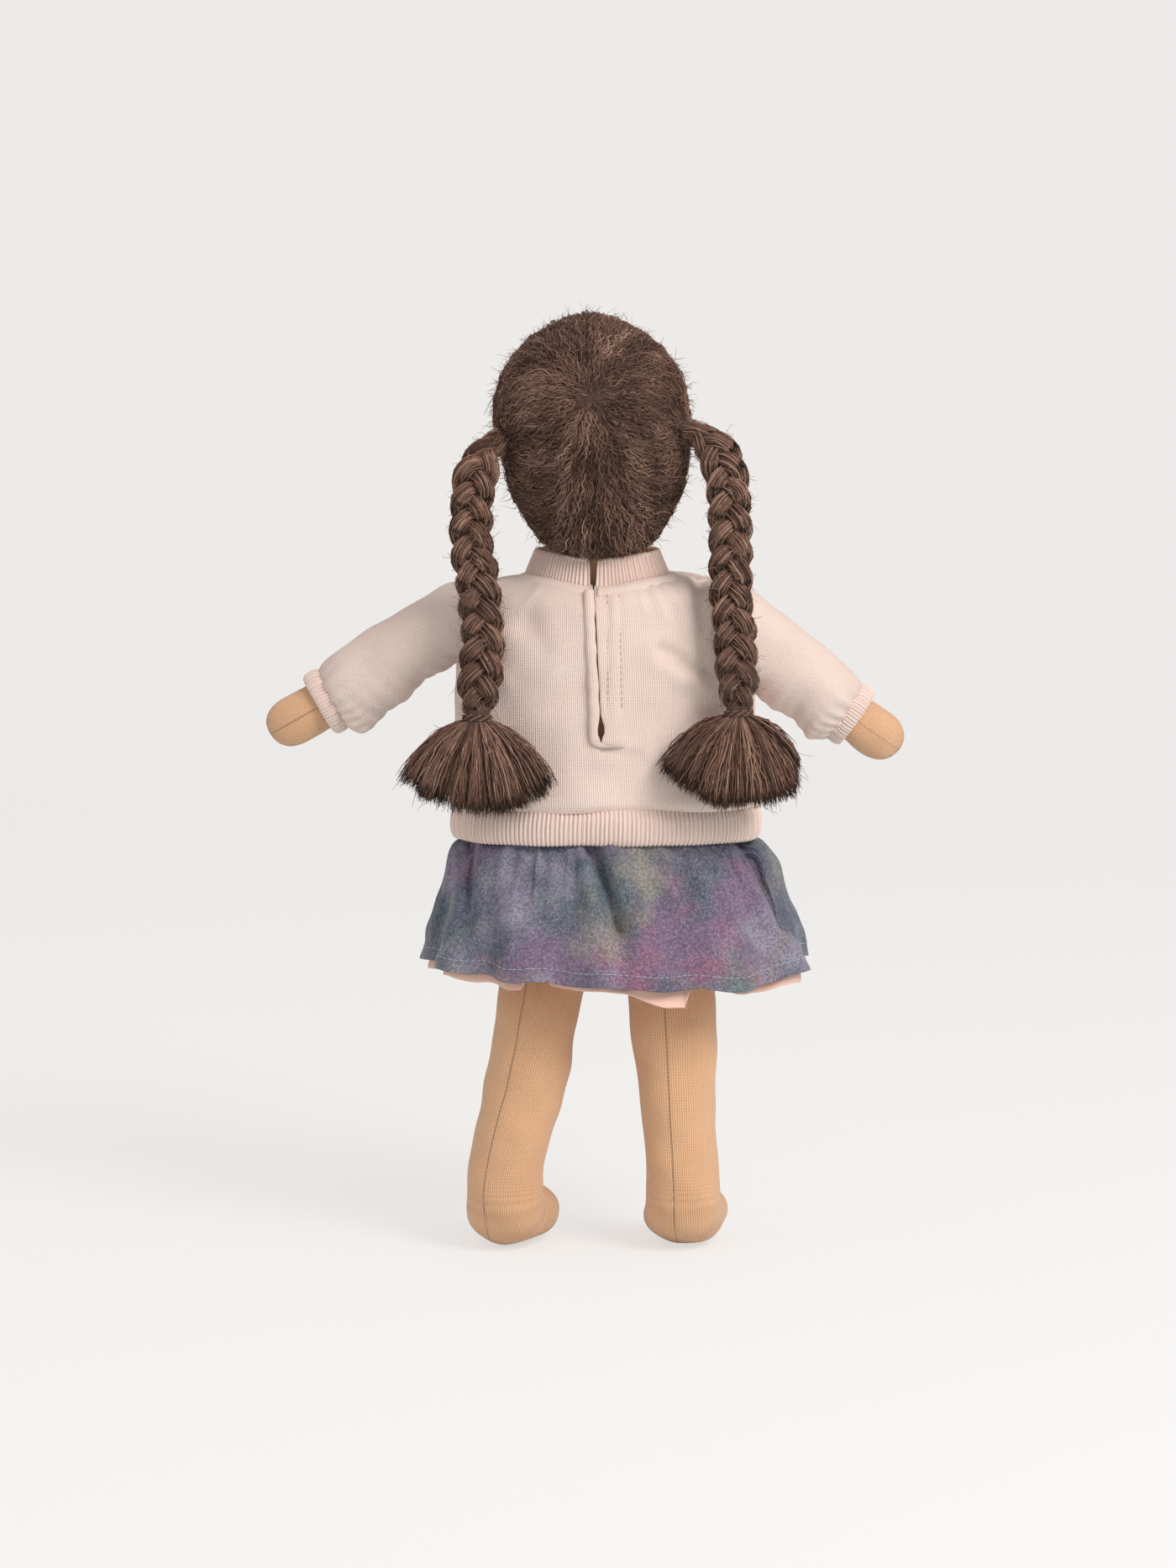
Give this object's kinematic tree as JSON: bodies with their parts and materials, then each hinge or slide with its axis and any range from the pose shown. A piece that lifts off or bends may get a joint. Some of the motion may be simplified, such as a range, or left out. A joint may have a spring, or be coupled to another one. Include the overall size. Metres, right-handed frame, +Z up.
{
  "type": "rag doll",
  "caption": "Soft standing rag doll with long plaits, a knitted sweater that opens at the back and a gathered, lined skirt.",
  "frame": {"origin": "on the floor, under the middle of the box round the doll", "axes": "+Z up, the doll faces -Y, and its left hand points to +X"},
  "size_m": [0.2742, 0.1136, 0.4022],
  "materials": {
    "skin_jersey": "plain knit",
    "hair_yarn": "brushed yarn",
    "front_hair_yarn": "brushed yarn",
    "tie_yarn": "wound yarn",
    "sweater_knit": "fine terry knit",
    "rib_knit": "ribbed knit",
    "dyed_cotton": "washed cotton",
    "lining_cotton": "plain cotton",
    "elastic_tape": "woven tape"
  },
  "bodies": {
    "torso": {"torso": "skin_jersey", "sweater_body": "sweater_knit", "neck_tape": "rib_knit", "slit_facing": "sweater_knit", "neckband": "rib_knit", "sweater_hem": "rib_knit", "skirt": "dyed_cotton", "skirt_lining": "lining_cotton", "waist_elastic": "elastic_tape"},
    "neck": {"neck": "skin_jersey"},
    "head": {"head": "skin_jersey", "hair_cap": "hair_yarn", "front_lock_left": "front_hair_yarn", "front_lock_right": "front_hair_yarn"},
    "plait_left": {"plait_left_strand_a": "hair_yarn", "plait_left_strand_b": "hair_yarn", "plait_left_strand_c": "hair_yarn", "plait_left_tie": "tie_yarn", "plait_left_tassel": "hair_yarn"},
    "arm_left": {"arm_left": "skin_jersey", "sleeve_left": "sweater_knit", "cuff_left": "rib_knit"},
    "leg_left": {"leg_left": "skin_jersey"},
    "plait_right": {"plait_right_strand_a": "hair_yarn", "plait_right_strand_b": "hair_yarn", "plait_right_strand_c": "hair_yarn", "plait_right_tie": "tie_yarn", "plait_right_tassel": "hair_yarn"},
    "arm_right": {"arm_right": "skin_jersey", "sleeve_right": "sweater_knit", "cuff_right": "rib_knit"},
    "leg_right": {"leg_right": "skin_jersey"}
  },
  "joints": [
    {"name": "neck_turn", "type": "hinge", "parent": "torso", "child": "neck", "pos_m": [-0.004, 0, 0.302], "axis": [0, 0, 1], "range_deg": [-8, 7]},
    {"name": "head_nod", "type": "hinge", "parent": "neck", "child": "head", "pos_m": [-0.004, 0, 0.302], "axis": [1, 0, 0], "range_deg": [0, 26]},
    {"name": "arm_left_raise", "type": "hinge", "parent": "torso", "child": "arm_left", "pos_m": [0.0475, 0, 0.272], "axis": [0, -1, 0], "range_deg": [-15, 70]},
    {"name": "arm_right_raise", "type": "hinge", "parent": "torso", "child": "arm_right", "pos_m": [-0.0565, 0, 0.269], "axis": [0, 1, 0], "range_deg": [-15, 70]},
    {"name": "leg_left_swing", "type": "hinge", "parent": "torso", "child": "leg_left", "pos_m": [0.015, 0, 0.143], "axis": [-1, 0, 0], "range_deg": [-20, 85], "deforming": ["skirt", "skirt_lining"]},
    {"name": "leg_right_swing", "type": "hinge", "parent": "torso", "child": "leg_right", "pos_m": [-0.031, 0, 0.143], "axis": [-1, 0, 0], "range_deg": [-20, 85], "deforming": ["skirt", "skirt_lining"]},
    {"name": "plait_left_swing", "type": "hinge", "parent": "head", "child": "plait_left", "pos_m": [0.0365, 0.0195, 0.3475], "axis": [0, -1, 0], "range_deg": [0, 50]},
    {"name": "plait_right_swing", "type": "hinge", "parent": "head", "child": "plait_right", "pos_m": [-0.041, 0.0195, 0.351], "axis": [0, 1, 0], "range_deg": [0, 50]}
  ]
}
